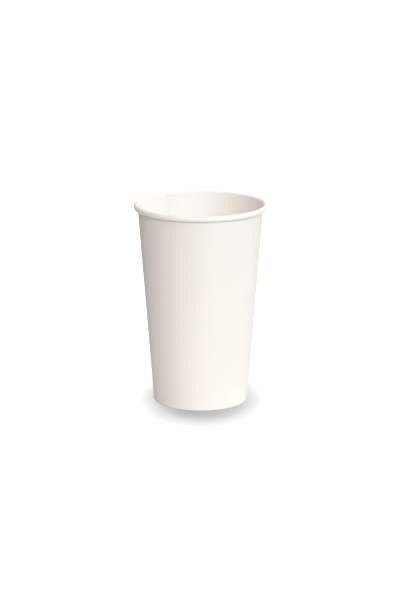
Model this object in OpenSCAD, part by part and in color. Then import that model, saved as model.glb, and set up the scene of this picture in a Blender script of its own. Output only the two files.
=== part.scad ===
// Single-wall paper cup for hot drinks, standing upright and empty.
// The side wall is one sheet of paperboard: it is wrapped to a cone, lapped and sealed along
// one straight side seam, rolled outwards at the rim and folded inwards at the foot.
// The bottom is the second piece, a disc with a turned-down skirt that the foot fold pinches.
// The origin is on the cup's axis in the plane it stands on, and the side seam faces +Y.

/* [Cup] */
// Height of the whole cup
cup_h = 136; // [90:1:170]
// Diameter over the rolled rim
rim_d = 90; // [80:1:104]
// Diameter of the side wall where it meets the ground
base_d = 64; // [52:1:74]

/* [Board] */
// Thickness of the side wall's board
wall_t = 0.4; // [0.3:0.05:0.5]
// Thickness of the bottom's board
floor_t = 0.35; // [0.25:0.05:0.5]

/* [Rolled rim] */
// Width of the roll, from the mouth to its outer edge
curl_w = 3; // [2.5:0.1:4]
// Height of the roll's flat outer side, between its upper and its lower bend
curl_side = 0.8; // [0.2:0.1:1.2]
// Gap between one turn of the roll and the next
curl_gap = 0.08; // [0.05:0.01:0.15]
// Angle that the sheet's edge turns up inside the roll
curl_tail = 80; // [40:5:140]

/* [Side seam] */
// Width of the lap in which the sheet's two edges are sealed together
lap_w = 7; // [5:0.5:9]
// How far the seam's heat and pressure squeeze the two plies together
lap_press = 0.08; // [0.06:0.01:0.12]
// Distance from the seam's middle at which the outer ply lies back on the wall, at the rim
lap_reach = 8.5; // [7.5:0.5:11]
// How far the double thickness swells the roll
curl_swell = 0.12; // [0.05:0.01:0.2]
// Width of the notch that the inner ply's cut edge leaves across the roll
notch_w = 1; // [0.5:0.1:1.5]
// Depth of that notch below the roll's surface
notch_d = 0.2; // [0.1:0.05:0.25]

/* [Bottom and foot] */
// Height of the bottom's underside above the ground
recess_h = 8; // [6:0.5:12]
// Inside radius of the bend between the disc and its skirt
bend_r = 0.8; // [0.4:0.1:1.5]
// Inside radius of the two bends in the foot fold
fold_r = 0.1; // [0.05:0.05:0.15]
// Gap on each side of the skirt where the foot fold pinches it
pinch_gap = 0.05; // [0.03:0.01:0.1]
// Distance from the skirt's edge to the bends in the fold below it
skirt_gap = 0.1; // [0.05:0.05:0.5]
// Distance from the fold's cut edge up to the start of the disc's bend
fold_gap = 0.8; // [0.3:0.1:2]

/* [Hidden] */
board_colour = "#f6f2ea";
// Facets of a full turn about the cup's axis
$fn = 120;
// Largest step along a bend in the board, in degrees
bend_step = 15;
// Overshoot of cutting shapes past what they cut
over = 1;

base_r = base_d / 2;
curl_r = curl_w / 2;
// Centre of the roll's upper bend, in the plane of radius and height
curl_x = rim_d / 2 - curl_r;
curl_z = cup_h - curl_r;
// Half the step by which each turn of the roll lies inside the last
curl_step = (wall_t + curl_gap) / 2;
under_r = curl_r - curl_step;
tail_r = curl_r - 2 * curl_step;
// Centre of the roll's lower bend
under_x = curl_x + curl_step;
under_z = curl_z - curl_side;

// Lean of the wall: its outer face runs from the base circle to touch the roll's upper bend
face_r = curl_r - wall_t;
run_x = curl_x - base_r;
lean = atan2(run_x, curl_z) - asin(face_r / norm([run_x, curl_z]));
// Slant length from the ground to where the roll starts
curl_s = run_x * sin(lean) + curl_z * cos(lean);

// Pinch at the foot: the wall, the skirt and the fold lie against each other
skirt_d = wall_t + pinch_gap;
fold_d = skirt_d + floor_t + pinch_gap;
pinch_d = fold_d + wall_t;
foot_r = wall_t + fold_r;
floor_top = recess_h + floor_t;
disc_bend_r = bend_r + floor_t;
disc_bend_z = floor_top - disc_bend_r;
disc_bend_x = radius_at(disc_bend_z, skirt_d + disc_bend_r);
disc_bend_s = slant_at(disc_bend_z, skirt_d + disc_bend_r);
fold_s = disc_bend_s - fold_gap;
foot_out_x = radius_at(foot_r, foot_r);
foot_in_x = radius_at(foot_r, pinch_d - foot_r);

// Lap: the outer ply follows a circle whose centre lies towards the seam, so that it stands
// off the wall by one squeezed thickness in the middle of the lap and meets the wall beside it
lap_rise = wall_t - lap_press;
// Drawn thickness of that ply, whose inner face sinks a little way into the wall
ply_t = lap_rise + lap_press / 4;
// How much closer to the wall that ply lies at its upper end than at its lower end
lap_taper = 0.01;
lap_top_r = radius_at(curl_z, 0);
lap_angle = asin(lap_reach / lap_top_r);
lap_shift = lap_rise * (lap_rise + 2 * lap_top_r)
    / (2 * (lap_top_r * (1 - cos(lap_angle)) + lap_rise));
lap_shrink = lap_shift - lap_rise;
// The seam's outer ply runs up into the nip under the roll
nip_depth = 0.7;
lap_top_z = under_z - nip_depth * under_r;
// Angle past the seam at which the lapped ply is cut off inside the wall's thickness
lap_end = lap_angle + 0.1;

// Radius of a point at height z that lies at depth d behind the wall's outer face
function radius_at(z, d) = base_r + z * tan(lean) - d / cos(lean);

// Slant length of the same point, measured up the wall's face from the ground
function slant_at(z, d) = (z - d * sin(lean)) / cos(lean);

// Point at slant length s and depth d
function wall_at(s, d) = [base_r + s * sin(lean) - d * cos(lean), s * cos(lean) + d * sin(lean)];

function polar(r, a) = [r * cos(a), r * sin(a)];

// Points of an arc about a centre, in steps of at most bend_step degrees
function arc(centre, r, from, to) =
    let (n = ceil(abs(to - from) / bend_step))
    [for (i = [0 : n]) centre + polar(r, from + (to - from) * i / n)];

function reversed(points) = [for (i = [len(points) - 1 : -1 : 0]) points[i]];

// Face of the side wall's sheet at depth t below its printed side, followed from the cut edge
// inside the foot fold, round the foot, up the wall and over the rim to the edge in the roll
function sheet_face(t) = concat(
    [wall_at(fold_s, pinch_d - t)],
    arc([foot_in_x, foot_r], foot_r - t, 180 - lean, 270),
    arc([foot_out_x, foot_r], foot_r - t, -90, -lean),
    arc([curl_x, curl_z], face_r + t, 180 - lean, 0),
    arc([under_x, under_z], under_r - wall_t + t, 0, -180),
    arc([curl_x, curl_z], tail_r - wall_t + t, 180, 180 - curl_tail)
);

// Line that runs over the roll at height h above its surface, from an angle on the upper bend,
// down the flat side, to an angle on the lower bend
function roll_line(h, from, to) = concat(
    arc([curl_x, curl_z], curl_r + h, from, 0),
    arc([under_x, under_z], under_r + h, 0, to)
);

// Section of the side wall's sheet
module wall_section() {
    polygon(concat(sheet_face(0), reversed(sheet_face(wall_t))));
}

// Section of the bottom, from the middle of the disc to the edge of its skirt
module disc_section() {
    centre = [disc_bend_x, disc_bend_z];
    skirt_s = foot_r + skirt_gap;
    polygon(concat(
        [[0, recess_h], [0, floor_top]],
        arc(centre, disc_bend_r, 90, -lean),
        [wall_at(skirt_s, skirt_d), wall_at(skirt_s, skirt_d + floor_t)],
        arc(centre, bend_r, -lean, 90)
    ));
}

// Turns a section about the lapped ply's own axis: outwards 1 for the face of the wall, or -1
// for the inside of the foot fold, where the same ply faces the cup's axis
module lapped_turn(outwards) {
    translate([0, outwards * lap_shift, 0])
        rotate_extrude() translate([-outwards * lap_shrink, 0]) children();
}

// Everything on the seam's side of the axis between two distances from the seam's middle
module seam_slab(x0, x1) {
    translate([x0, 0, -over]) cube([x1 - x0, rim_d, cup_h + 2 * over]);
}

// Part of that slab up to where the lapped ply has landed on the wall and is cut off inside it
module ply_slab() {
    reach = rim_d;
    translate([0, 0, -over]) linear_extrude(cup_h + 2 * over)
        polygon([[0, 0], [lap_w / 2, 0], [lap_w / 2, reach], [-reach * tan(lap_end), reach]]);
}

// The outer ply over the lap, on the cup's face and on the inside of the foot fold
module lap_ply() {
    low_s = slant_at(foot_r, foot_r);
    top_s = fold_s - lap_rise;
    intersection() {
        union() {
            lapped_turn(1) polygon([
                wall_at(low_s, ply_t),
                wall_at(low_s + lap_rise, 0),
                [radius_at(lap_top_z, lap_taper), lap_top_z],
                [radius_at(lap_top_z, ply_t), lap_top_z]
            ]);
            lapped_turn(-1) polygon([
                wall_at(low_s, pinch_d - ply_t),
                wall_at(low_s + lap_rise, pinch_d),
                wall_at(top_s, pinch_d - lap_taper),
                wall_at(top_s, pinch_d - ply_t)
            ]);
        }
        ply_slab();
    }
}

// Hollow inside the cup where the outer ply bridges the inner ply's cut edge
module lap_hollow() {
    low_s = slant_at(floor_top, 0) + over;
    top_s = curl_s + wall_t;
    intersection() {
        lapped_turn(1) polygon([
            wall_at(low_s, wall_t),
            wall_at(top_s, wall_t + lap_taper),
            wall_at(top_s, wall_t + over),
            wall_at(low_s, wall_t + over)
        ]);
        seam_slab(-2 * lap_reach, -lap_w / 2);
    }
}

// Ring round the roll between two heights above its surface, the first angle near the mouth
module roll_ring(h0, h1, from, to) {
    rotate_extrude() polygon(concat(roll_line(h0, from, to), reversed(roll_line(h1, from, to))));
}

// The swelling of the roll where both plies run through it
module curl_lap() {
    intersection() {
        roll_ring(-wall_t / 2, curl_swell, 145, -60);
        seam_slab(-lap_w / 2, lap_w / 2);
    }
}

// Notch across the roll beside the inner ply's cut edge
module curl_notch() {
    intersection() {
        roll_ring(-notch_d, over, 165, -75);
        seam_slab(-lap_w / 2 - notch_w, -lap_w / 2);
    }
}

module sidewall() {
    color(board_colour) difference() {
        union() {
            rotate_extrude() wall_section();
            lap_ply();
            curl_lap();
        }
        lap_hollow();
        curl_notch();
    }
}

module bottom_disc() {
    color(board_colour) rotate_extrude() disc_section();
}

sidewall();
bottom_disc();
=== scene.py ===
import math

import bmesh
import bpy
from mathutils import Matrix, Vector


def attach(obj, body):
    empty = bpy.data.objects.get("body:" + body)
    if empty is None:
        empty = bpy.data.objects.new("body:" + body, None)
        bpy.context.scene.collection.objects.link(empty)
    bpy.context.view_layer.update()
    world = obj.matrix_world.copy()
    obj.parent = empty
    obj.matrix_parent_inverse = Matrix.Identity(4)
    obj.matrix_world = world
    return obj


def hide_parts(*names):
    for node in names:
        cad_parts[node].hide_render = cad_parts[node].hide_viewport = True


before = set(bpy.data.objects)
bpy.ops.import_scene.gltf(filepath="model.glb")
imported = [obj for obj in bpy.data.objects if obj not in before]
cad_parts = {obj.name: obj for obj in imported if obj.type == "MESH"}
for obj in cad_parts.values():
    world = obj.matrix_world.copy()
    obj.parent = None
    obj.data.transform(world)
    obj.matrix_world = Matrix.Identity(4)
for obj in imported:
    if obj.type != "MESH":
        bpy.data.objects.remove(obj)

scene = bpy.context.scene
scene.view_settings.view_transform = "Standard"
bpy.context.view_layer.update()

# Camera
# A long lens well back from the cup and a little above its mouth, with the side seam at the back
# left. The lens is given for a sensor whose long side is 36 mm.
camera_azimuth = -27.5
camera_elevation = 14.4
camera_distance = 1.389
camera_lens = 122.3
view_middle = Vector((0, 0, 0.0685))


def aim(obj, azimuth, elevation, distance):
    """Places an object round the cup and turns it to look at the view's middle. The angles are in
    degrees, and the azimuth is counted from straight in front of the cup, which is -Y."""
    a, e = math.radians(azimuth), math.radians(elevation)
    back = Vector((math.sin(a) * math.cos(e), -math.cos(a) * math.cos(e), math.sin(e)))
    obj.location = view_middle + back * distance
    obj.rotation_euler = (-back).to_track_quat("-Z", "Y").to_euler()


camera = bpy.data.objects.new("camera", bpy.data.cameras.new("camera"))
scene.collection.objects.link(camera)
aim(camera, camera_azimuth, camera_elevation, camera_distance)
camera.data.sensor_width = 36.0
camera.data.lens = camera_lens
camera.data.clip_start = 0.1
camera.data.clip_end = 20.0
scene.camera = camera

# Side wall
# One sheet of paperboard, matt outside and with a thin satin coating inside. It is wrapped to a
# cone, its two edges are lapped and heat-sealed down the back, its top is rolled outwards and
# down, and its foot is folded in round the skirt of the bottom.
MM = 0.001
cup_h = 136.0 * MM
rim_d = 90.0 * MM
base_d = 64.0 * MM
wall_t = 0.4 * MM
floor_t = 0.35 * MM
curl_w = 3.0 * MM
curl_side = 0.8 * MM
curl_gap = 0.08 * MM
curl_tail = math.radians(80)
curl_swell = 0.12 * MM
lap_w = 7.0 * MM
jog_w = 2.0 * MM
recess_h = 8.0 * MM
bend_r = 0.8 * MM
fold_r = 0.1 * MM
pinch_gap = 0.05 * MM
fold_gap = 0.8 * MM
knurl_count = 100.0
knurl_depth = 0.12 * MM
wall_columns = 601
lap_share = 0.06

curl_r = curl_w / 2
curl_x = rim_d / 2 - curl_r
curl_z = cup_h - curl_r
curl_step = (wall_t + curl_gap) / 2
under_r = curl_r - curl_step
tail_r = curl_r - 2 * curl_step
face_r = curl_r - wall_t
run_x = curl_x - base_d / 2
lean = math.atan2(run_x, curl_z) - math.asin(face_r / math.hypot(run_x, curl_z))
curl_s = run_x * math.sin(lean) + curl_z * math.cos(lean)
skirt_d = wall_t + pinch_gap
pinch_d = skirt_d + floor_t + pinch_gap + wall_t
foot_r = wall_t + fold_r
disc_bend_z = recess_h - bend_r
disc_bend_d = skirt_d + bend_r + floor_t


def radius_at(z, depth):
    """Radius of a point at height z that lies at a depth behind the wall's printed face."""
    return base_d / 2 + z * math.tan(lean) - depth / math.cos(lean)


def slant_at(z, depth):
    """Length up the wall's face, from the ground, of the same point."""
    return (z - depth * math.sin(lean)) / math.cos(lean)


def blend(pair, t):
    return pair[0] + (pair[1] - pair[0]) * t


def straight(s0, s1, depth, facing):
    """A flat stretch of board from one slant length to another. It faces outwards at 1, and the
    cup's axis at -1."""
    def place(t):
        s = blend((s0, s1), t)
        radius = base_d / 2 + s * math.sin(lean) - depth * math.cos(lean)
        height = s * math.cos(lean) + depth * math.sin(lean)
        return radius, height, facing * math.cos(lean), -facing * math.sin(lean)
    return place


def bend(centre, r, start, end, facing, drawn_out=0.0):
    """A bend in the board. It faces away from the bend's centre at 1, and towards it at -1. It may
    be drawn out to an oval that is higher than it is wide."""
    def place(t):
        angle = blend((start, end), t)
        c, s = math.cos(angle), math.sin(angle)
        across, along = c * (r + drawn_out), s * r
        scale = facing / math.hypot(across, along)
        return (centre[0] + r * c, centre[1] + (r + drawn_out) * s,
                across * scale, along * scale)
    return place


def rows(place, steps, inner=(0, 0), outer=(0, 0), mark=(0, 0), ease=lambda t: t):
    """Rows of the sheet along one stretch: radius, height, the way the face looks, and how far
    the lap's inner and outer ply and the tool marks stand off the face, at its start and end."""
    made = []
    for i in range(steps + 1):
        t = i / steps
        made.append((*place(t), *(blend(pair, ease(t)) for pair in (inner, outer, mark))))
    return made


def joined(*stretches):
    """One run of rows, without the double row where one stretch ends and the next begins."""
    run = []
    for stretch in stretches:
        if run and math.dist(run[-1][:2], stretch[0][:2]) < 0.01 * MM:
            stretch = stretch[1:]
        run += stretch
    return run


# The sheet's section, followed along its printed face from the cut edge inside the foot fold,
# round the foot, up the wall and over the rim to the cut edge in the roll. The two plies of the
# lap lie on each other on the wall, are pressed into one another at the foot, and swell the roll.
# How far they stand off is counted in thicknesses of the board, towards the side that is faced.
swell = -curl_swell / wall_t
swell_from = math.pi * 0.8
pressed = -0.2
tucked_ply = 1.9
tail_ply = 1.4
quarter = math.pi / 2
foot_in = (radius_at(foot_r, pinch_d - foot_r), foot_r)
foot_out = (radius_at(foot_r, foot_r), foot_r)
roll = (curl_x, curl_z)
under_roll = (curl_x + curl_step, curl_z)
fold_top_s = slant_at(disc_bend_z, disc_bend_d) - fold_gap
fold_low_s = slant_at(foot_r, pinch_d - foot_r)
foot_low_s = slant_at(foot_r, foot_r)
knurl_fade = 0.9 * MM
knurl_top_s = fold_top_s - knurl_fade
knurl_low_s = fold_low_s + knurl_fade
show_through = 0.2

wall_rows = joined(
    rows(straight(fold_top_s, knurl_top_s, pinch_d, -1), 2, outer=(1, 1), mark=(0, 1)),
    rows(straight(knurl_top_s, knurl_low_s, pinch_d, -1), 4, outer=(1, 1), mark=(1, 1)),
    rows(straight(knurl_low_s, fold_low_s, pinch_d, -1), 2, outer=(1, 1), mark=(1, 0)),
    rows(bend(foot_in, foot_r, math.pi - lean, 3 * quarter, 1), 7, (0, pressed), (1, 0),
         ease=lambda t: 1 - (1 - t) ** 2),
    rows(bend(foot_out, foot_r, -quarter, -lean, 1), 7, (pressed, 0), (0, 1),
         ease=lambda t: t ** 2),
    rows(straight(foot_low_s, knurl_low_s, 0, 1), 2, outer=(1, 1), mark=(0, -show_through)),
    rows(straight(knurl_low_s, knurl_top_s, 0, 1), 3, outer=(1, 1),
         mark=(-show_through, -show_through)),
    rows(straight(knurl_top_s, fold_top_s, 0, 1), 2, outer=(1, 1), mark=(-show_through, 0)),
    rows(straight(fold_top_s, curl_s, 0, 1), 6, outer=(1, 1)),
    rows(bend(roll, face_r, math.pi - lean, swell_from, -1), 3, (0, swell), (1, 1 + swell)),
    rows(bend(roll, face_r, swell_from, 0, -1), 13, (swell, swell), (1 + swell, 1 + swell)),
    rows(bend(under_roll, under_r - wall_t, 0, -quarter, -1, curl_side), 9,
         (swell, swell), (1 + swell, 1 + swell)),
    rows(bend(under_roll, under_r - wall_t, -quarter, -math.pi, -1, curl_side), 5,
         (swell, 1), (1 + swell, tucked_ply)),
    rows(bend(roll, tail_r - wall_t, math.pi, math.pi - curl_tail, -1), 3,
         (1, 1), (tail_ply, tail_ply)),
)


class Tree:
    """Short ways to write a geometry or shader tree."""

    def __init__(self, tree):
        self.tree = tree

    def feed(self, socket, value):
        if isinstance(value, bpy.types.NodeSocket):
            self.tree.links.new(value, socket)
        else:
            socket.default_value = value

    def node(self, kind, settings=None, **values):
        """A node, its settings, and a value or link for each of its inputs by name."""
        made = self.tree.nodes.new(kind)
        for key, value in (settings or {}).items():
            setattr(made, key, value)
        for key, value in values.items():
            self.feed(made.inputs[key.replace("_", " ")], value)
        return made

    def math(self, operation, *values):
        made = self.tree.nodes.new("ShaderNodeMath")
        made.operation = operation
        for socket, value in zip(made.inputs, values):
            self.feed(socket, value)
        return made.outputs[0]

    def ramp(self, value, low, high, out_low, out_high, smooth=False):
        """A value mapped from one range to another, and held at its ends."""
        made = self.tree.nodes.new("ShaderNodeMapRange")
        made.interpolation_type = "SMOOTHSTEP" if smooth else "LINEAR"
        for socket, v in zip(made.inputs, (value, low, high, out_low, out_high)):
            self.feed(socket, v)
        return made.outputs[0]


def named_sockets(tree, in_out, **kinds):
    """Gives a group its inputs or outputs, each a name and the kind of its socket."""
    for name, kind in kinds.items():
        tree.interface.new_socket(
            name.replace("_", " "), in_out=in_out, socket_type="NodeSocket" + kind)


def wrapping_tree():
    """Wraps a sheet of board, given by the rows of its section, once round the cup's axis. The
    sheet starts at the outer ply's cut edge and ends, past a full turn, at the inner ply's."""
    tree = bpy.data.node_groups.new("wrap_board", "GeometryNodeTree")
    named_sockets(
        tree, "INPUT", Section="Geometry", Columns="Int", Lap_Width="Float", Jog_Width="Float",
        Lap_Share="Float", Board="Float", Mark_Count="Float", Mark_Depth="Float",
        Material="Material")
    named_sockets(tree, "OUTPUT", Mesh="Geometry")
    t = Tree(tree)
    given = t.node("NodeGroupInput").outputs

    # A flat grid, with a row for each point of the section
    size = t.node("GeometryNodeAttributeDomainSize", Geometry=given["Section"])
    row_count = size.outputs["Point Count"]
    grid = t.node("GeometryNodeMeshGrid", Size_X=1.0, Size_Y=1.0,
                  Vertices_X=given["Columns"], Vertices_Y=row_count)
    own_place = t.node("GeometryNodeInputPosition").outputs["Position"]
    spot = t.node("ShaderNodeSeparateXYZ", Vector=own_place)
    u = t.math("ADD", spot.outputs["X"], 0.5)
    v = t.math("ADD", spot.outputs["Y"], 0.5)
    row = t.math("ROUND", t.math("MULTIPLY", v, t.math("SUBTRACT", row_count, 1.0)))

    def at_row(kind, value):
        sample = t.node("GeometryNodeSampleIndex", {"data_type": kind, "domain": "POINT"},
                        Geometry=given["Section"], Index=row)
        t.feed(sample.inputs["Value"], value)
        return sample.outputs["Value"]

    def stored(kind, name):
        found = t.node("GeometryNodeInputNamedAttribute", {"data_type": kind}, Name=name)
        return at_row(kind, found.outputs["Attribute"])

    point = t.node("ShaderNodeSeparateXYZ", Vector=at_row("FLOAT_VECTOR", own_place))
    facing = t.node("ShaderNodeSeparateXYZ", Vector=stored("FLOAT_VECTOR", "facing"))
    radius, height = point.outputs["X"], point.outputs["Z"]

    # The angle of each column, counted from the middle of the seam. Columns crowd into the lap.
    half_lap = t.math(
        "ARCSINE", t.math("DIVIDE", t.math("MULTIPLY", given["Lap Width"], 0.5), radius))
    jog = t.math("DIVIDE", given["Jog Width"], radius)
    share = given["Lap Share"]
    rest = t.math("SUBTRACT", 1.0, share)
    lap_turn = t.math("ADD", t.math("MULTIPLY", half_lap, 2.0), jog)
    rest_turn = t.math(
        "SUBTRACT", math.tau, t.math("MULTIPLY", t.math("ADD", half_lap, jog), 2.0))
    first = t.ramp(u, 0.0, share, 0.0, lap_turn)
    middle = t.ramp(u, share, rest, 0.0, rest_turn)
    last = t.ramp(u, rest, 1.0, 0.0, lap_turn)
    angle = t.math("SUBTRACT", t.math("ADD", t.math("ADD", first, middle), last), half_lap)

    # How far the lap's plies and the tool marks stand off the sheet's face
    full_turn = t.math("SUBTRACT", math.tau, half_lap)
    outer = t.ramp(angle, half_lap, t.math("ADD", half_lap, jog), 1.0, 0.0, smooth=True)
    inner = t.ramp(angle, t.math("SUBTRACT", full_turn, jog), full_turn, 0.0, 1.0, smooth=True)
    plies = t.math("ADD", t.math("MULTIPLY", outer, stored("FLOAT", "outer_ply")),
                   t.math("MULTIPLY", inner, stored("FLOAT", "inner_ply")))
    wave = t.math("COSINE", t.math("MULTIPLY", angle, given["Mark Count"]))
    mark = t.math("MULTIPLY", t.ramp(wave, -1.0, 1.0, 0.0, 1.0), stored("FLOAT", "mark"))
    stand = t.math("ADD", t.math("MULTIPLY", plies, given["Board"]),
                   t.math("MULTIPLY", mark, given["Mark Depth"]))

    out = t.math("ADD", radius, t.math("MULTIPLY", facing.outputs["X"], stand))
    up = t.math("ADD", height, t.math("MULTIPLY", facing.outputs["Z"], stand))
    place = t.node(
        "ShaderNodeCombineXYZ",
        X=t.math("MULTIPLY", t.math("SINE", angle), t.math("MULTIPLY", out, -1.0)),
        Y=t.math("MULTIPLY", t.math("COSINE", angle), out), Z=up)
    wrapped = t.node("GeometryNodeSetPosition", Geometry=grid.outputs["Mesh"],
                     Position=place.outputs["Vector"])
    whole = t.node("GeometryNodeRealizeInstances", Geometry=wrapped.outputs["Geometry"])
    dressed = t.node("GeometryNodeSetMaterial", Geometry=whole.outputs["Geometry"],
                     Material=given["Material"])
    t.node("NodeGroupOutput", Mesh=dressed.outputs["Geometry"])
    return tree


def settled(obj, name):
    """A new object with the plain mesh that obj's modifiers give. The old object goes."""
    bpy.context.view_layer.update()
    evaluated = obj.evaluated_get(bpy.context.evaluated_depsgraph_get())
    mesh = bpy.data.meshes.new_from_object(evaluated)
    mesh.name = name
    bpy.data.objects.remove(obj)
    made = bpy.data.objects.new(name, mesh)
    scene.collection.objects.link(made)
    return made


def wrapped_board(name, section_rows, thickness, materials, sizes):
    """A piece of board: its section, wrapped by the tree, then given thickness and cut edges.
    The materials are for the face that the section follows, the other face and the edges."""
    mesh = bpy.data.meshes.new(name + "_section")
    points = [(row[0], 0, row[1]) for row in section_rows]
    mesh.from_pydata(points, [(i, i + 1) for i in range(len(points) - 1)], [])
    facing = mesh.attributes.new("facing", "FLOAT_VECTOR", "POINT")
    facing.data.foreach_set("vector", [v for row in section_rows for v in (row[2], 0.0, row[3])])
    for column, key in ((4, "inner_ply"), (5, "outer_ply"), (6, "mark")):
        values = mesh.attributes.new(key, "FLOAT", "POINT")
        values.data.foreach_set("value", [float(row[column]) for row in section_rows])
    section = bpy.data.objects.new(name + "_section", mesh)
    scene.collection.objects.link(section)

    wrap = section.modifiers.new("wrap", "NODES")
    wrap.node_group = wrap_board
    sockets = {item.name: item.identifier for item in wrap_board.interface.items_tree
               if item.in_out == "INPUT"}
    for key, value in {**sizes, "Board": thickness, "Material": materials[0]}.items():
        wrap[sockets[key]] = value
    sheet = settled(section, name + "_sheet")

    merged = bmesh.new()
    merged.from_mesh(sheet.data)
    bmesh.ops.remove_doubles(merged, verts=merged.verts, dist=0.001 * MM)
    merged.to_mesh(sheet.data)
    merged.free()
    for material in materials[1:]:
        sheet.data.materials.append(material)
    board = sheet.modifiers.new("board", "SOLIDIFY")
    board.thickness = thickness
    board.offset = -1
    board.use_even_offset = True
    board.material_offset = 1
    board.material_offset_rim = 2
    piece = settled(sheet, name)
    piece.data.shade_smooth()
    piece.data.set_sharp_from_angle(angle=math.radians(45))
    return piece


def fibre_group():
    """Paper as it is felted: cloudy patches a few millimetres across, and fine crossing fibres."""
    tree = bpy.data.node_groups.new("paper_fibre", "ShaderNodeTree")
    named_sockets(tree, "INPUT", Patch_Size="Float", Fibre_Size="Float")
    named_sockets(tree, "OUTPUT", Patches="Float", Fibres="Float")
    t = Tree(tree)
    given = t.node("NodeGroupInput").outputs
    place = t.node("ShaderNodeTexCoord").outputs["Object"]
    patches = t.node("ShaderNodeTexNoise", Vector=place, Detail=3.0, Roughness=0.55,
                     Scale=t.math("DIVIDE", 1.0, given["Patch Size"]))
    fibre_scale = t.math("DIVIDE", 1.0, given["Fibre Size"])
    layers = []
    for turn in ((0.4, 0.9, 0.2), (1.3, 0.2, 1.1)):
        lie = t.node("ShaderNodeMapping", Vector=place, Rotation=turn, Scale=(1.0, 0.25, 0.6))
        layer = t.node("ShaderNodeTexNoise", Vector=lie.outputs["Vector"], Detail=4.0,
                       Roughness=0.6, Distortion=0.6, Scale=fibre_scale)
        layers.append(layer.outputs["Fac"])
    fibres = t.math("MULTIPLY", t.math("ADD", *layers), 0.5)
    t.node("NodeGroupOutput", Patches=patches.outputs["Fac"], Fibres=fibres)
    return tree


patch_size = 6 * MM
fibre_size = 0.4 * MM
fibre_depth = 0.04 * MM


def board_material(name, dark, light, roughness, relief, specular):
    """Paperboard: two near tones that drift with the felting, and a fine relief of fibres."""
    material = bpy.data.materials.new(name)
    material.use_nodes = True
    t = Tree(material.node_tree)
    shader = material.node_tree.nodes["Principled BSDF"]
    fibre = t.node("ShaderNodeGroup", {"node_tree": paper_fibre},
                   Patch_Size=patch_size, Fibre_Size=fibre_size).outputs
    clouds = t.ramp(fibre["Patches"], 0.3, 0.7, 0.0, 0.7)
    flecks = t.ramp(fibre["Fibres"], 0.35, 0.65, 0.0, 0.3)
    tone = t.node("ShaderNodeValToRGB", Fac=t.math("ADD", clouds, flecks))
    tone.color_ramp.elements[0].color = (*dark, 1)
    tone.color_ramp.elements[1].color = (*light, 1)
    t.feed(shader.inputs["Base Color"], tone.outputs["Color"])
    t.feed(shader.inputs["Roughness"], t.ramp(fibre["Fibres"], 0.3, 0.7, *roughness))
    shader.inputs["Specular IOR Level"].default_value = specular
    bump = t.node("ShaderNodeBump", Height=fibre["Fibres"], Strength=relief, Distance=fibre_depth)
    t.feed(shader.inputs["Normal"], bump.outputs["Normal"])
    return material


wrap_board = wrapping_tree()
paper_fibre = fibre_group()
board_face = board_material(
    "board_face", dark=(0.89, 0.866, 0.83), light=(0.912, 0.89, 0.857),
    roughness=(0.75, 0.9), relief=0.4, specular=0.3)
board_coated = board_material(
    "board_coated", dark=(0.956, 0.938, 0.906), light=(0.967, 0.951, 0.922),
    roughness=(0.42, 0.55), relief=0.2, specular=0.2)
board_edge = board_material(
    "board_edge", dark=(0.86, 0.83, 0.79), light=(0.93, 0.91, 0.87),
    roughness=(0.9, 1.0), relief=0.8, specular=0.2)

sidewall = wrapped_board(
    "cup_sidewall", wall_rows, wall_t, (board_face, board_coated, board_edge),
    {"Columns": wall_columns, "Lap Width": lap_w, "Jog Width": jog_w, "Lap Share": lap_share,
     "Mark Count": knurl_count, "Mark Depth": knurl_depth})
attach(sidewall, "root")
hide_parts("sidewall")

# Bottom
# A disc of thinner board, its coated side up. Its edge is turned down as a skirt, which the foot
# fold pinches, and the turned edge gathers in fine pleats because a flat disc can't shrink.
skirt_gap = 0.1 * MM
floor_top = recess_h + floor_t
pleat_count = 72.0
pleat_depth = -0.07 * MM
pleat_reach = 4 * MM
disc_columns = 433
disc_bend = (radius_at(disc_bend_z, disc_bend_d), disc_bend_z)
pleat_end = disc_bend[0] - pleat_reach


def flat(r0, r1):
    """The level part of the disc, between two radii."""
    return lambda t: (blend((r0, r1), t), floor_top, 0.0, 1.0)


bottom_rows = joined(
    rows(straight(foot_r + skirt_gap, slant_at(disc_bend_z, disc_bend_d), skirt_d, 1), 4),
    rows(bend(disc_bend, bend_r + floor_t, -lean, quarter / 2, 1), 5, mark=(0, 1)),
    rows(bend(disc_bend, bend_r + floor_t, quarter / 2, quarter, 1), 5, mark=(1, 1)),
    rows(flat(disc_bend[0], pleat_end), 6, mark=(1, 0)),
    rows(flat(pleat_end, 0), 6),
)
bottom = wrapped_board(
    "cup_bottom", bottom_rows, floor_t, (board_coated, board_face, board_edge),
    {"Columns": disc_columns, "Lap Width": 0.0, "Jog Width": 0.0, "Lap Share": 0.0,
     "Mark Count": pleat_count, "Mark Depth": pleat_depth})
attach(bottom, "root")
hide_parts("bottom_disc")

# Floor
# A plain white table that throws light up at the cup, less of it from further off. For the camera
# alone white is added to it, but not in an oval round the foot, where a grey floor tone is left as
# a painted shadow: the cup's own shadow shows only there, and is faint in front.
floor_half = 6.0
bounce_near = 0.85
bounce_far = 0.2
bounce_fade = (0.3, 0.6)
# The floor's grey tone for the camera, which shows only in the oval, as the painted shadow
painted_shadow_tone = (0.5, 0.517, 0.54)
painted_shadow_middle = (-0.6 * MM, -8.6 * MM, 0.0)
painted_shadow_turn = math.radians(-32.3)
painted_shadow_stretch = (0.67, 1.0, 1.0)
# Each fade of the painted shadow's edge: where it starts and ends, and its share of the added
# white
painted_shadow_fades = ((28 * MM, 54 * MM, 0.29), (37.5 * MM, 98 * MM, 0.71))


def distance_of(t, place):
    """Distance of a place from the origin of its coordinates."""
    made = t.node("ShaderNodeVectorMath", {"operation": "LENGTH"})
    t.feed(made.inputs[0], place)
    return made.outputs["Value"]


def colour_of(t, channels):
    """A colour put together from its red, green and blue."""
    red, green, blue = channels
    made = t.node("ShaderNodeCombineColor", Red=red, Green=green, Blue=blue)
    return made.outputs["Color"]


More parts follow.
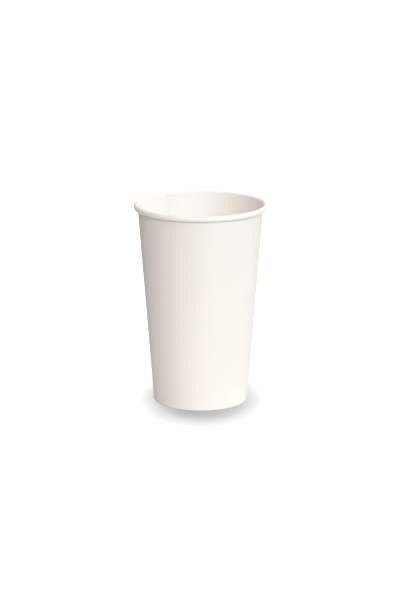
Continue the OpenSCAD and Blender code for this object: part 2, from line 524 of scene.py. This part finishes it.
floor_mesh = bpy.data.meshes.new("floor")
floor_mesh.from_pydata(
    [(x * floor_half, y * floor_half, 0) for x, y in ((-1, -1), (1, -1), (1, 1), (-1, 1))],
    [], [(0, 1, 2, 3)])
floor = bpy.data.objects.new("floor", floor_mesh)
scene.collection.objects.link(floor)
floor_white = bpy.data.materials.new("floor_white")
floor_white.use_nodes = True
t = Tree(floor_white.node_tree)
shader = floor_white.node_tree.nodes["Principled BSDF"]
shader.inputs["Roughness"].default_value = 1.0
shader.inputs["Specular IOR Level"].default_value = 0.0
shader.inputs["Emission Color"].default_value = (1, 1, 1, 1)
seen = t.node("ShaderNodeLightPath").outputs["Is Camera Ray"]
place = t.node("ShaderNodeTexCoord").outputs["Object"]
bounce = t.ramp(distance_of(t, place), *bounce_fade, bounce_near, bounce_far, smooth=True)
t.feed(shader.inputs["Base Color"],
       colour_of(t, [t.ramp(seen, 0.0, 1.0, bounce, tone) for tone in painted_shadow_tone]))
# The painted shadow: an oval round the foot where less white is added, so the grey tone shows
oval = t.node("ShaderNodeMapping", {"vector_type": "TEXTURE"}, Vector=place,
              Location=painted_shadow_middle, Rotation=(0.0, 0.0, painted_shadow_turn), Scale=painted_shadow_stretch)
out = distance_of(t, oval.outputs["Vector"])
glow = t.math("ADD", *(t.ramp(out, start, end, 0.0, share, smooth=True)
                       for start, end, share in painted_shadow_fades))
t.feed(shader.inputs["Emission Strength"], t.math("MULTIPLY", seen, glow))
floor.data.materials.append(floor_white)

# Light
# Three softboxes round the front and the right, one overhead and a little behind the cup, and a
# room whose pale warm ceiling fades to a dark horizon. The camera and gloss see the room white.
ceiling_light = 0.73
ceiling_tone = (1.0, 0.89, 0.82)
world = bpy.data.worlds.new("studio")
scene.world = world
world.use_nodes = True
t = Tree(world.node_tree)
room = world.node_tree.nodes["Background"]
paths = t.node("ShaderNodeLightPath").outputs
plain = t.math("MAXIMUM", paths["Is Camera Ray"],
               t.math("MAXIMUM", paths["Is Glossy Ray"], paths["Is Transmission Ray"]))
look = t.node("ShaderNodeSeparateXYZ", Vector=t.node("ShaderNodeTexCoord").outputs["Generated"])
ceiling = t.ramp(look.outputs["Z"], 0.0, 1.0, 0.0, ceiling_light)
t.feed(room.inputs["Strength"], t.ramp(plain, 0.0, 1.0, ceiling, 1.0))
t.feed(room.inputs["Color"],
       colour_of(t, [t.ramp(plain, 0.0, 1.0, tone, 1.0) for tone in ceiling_tone]))


def softbox(name, azimuth, elevation, distance, width, power, colour):
    """A round softbox that looks at the cup."""
    lamp = bpy.data.lights.new(name, "AREA")
    lamp.shape = "DISK"
    lamp.size = width
    lamp.energy = power
    lamp.color = colour
    obj = bpy.data.objects.new(name, lamp)
    scene.collection.objects.link(obj)
    aim(obj, azimuth, elevation, distance)


softbox("key_light", 20, 25, 2.0, 0.8, 10.8, (0.69, 0.93, 1.0))
softbox("front_light", -20, 30, 2.0, 0.8, 18.9, (1.0, 0.945, 0.91))
softbox("side_light", 90, 20, 2.0, 0.8, 10.6, (1.0, 0.89, 0.885))
softbox("top_light", 152.5, 75, 1.6, 0.5, 1.2, (1.0, 1.0, 0.9))
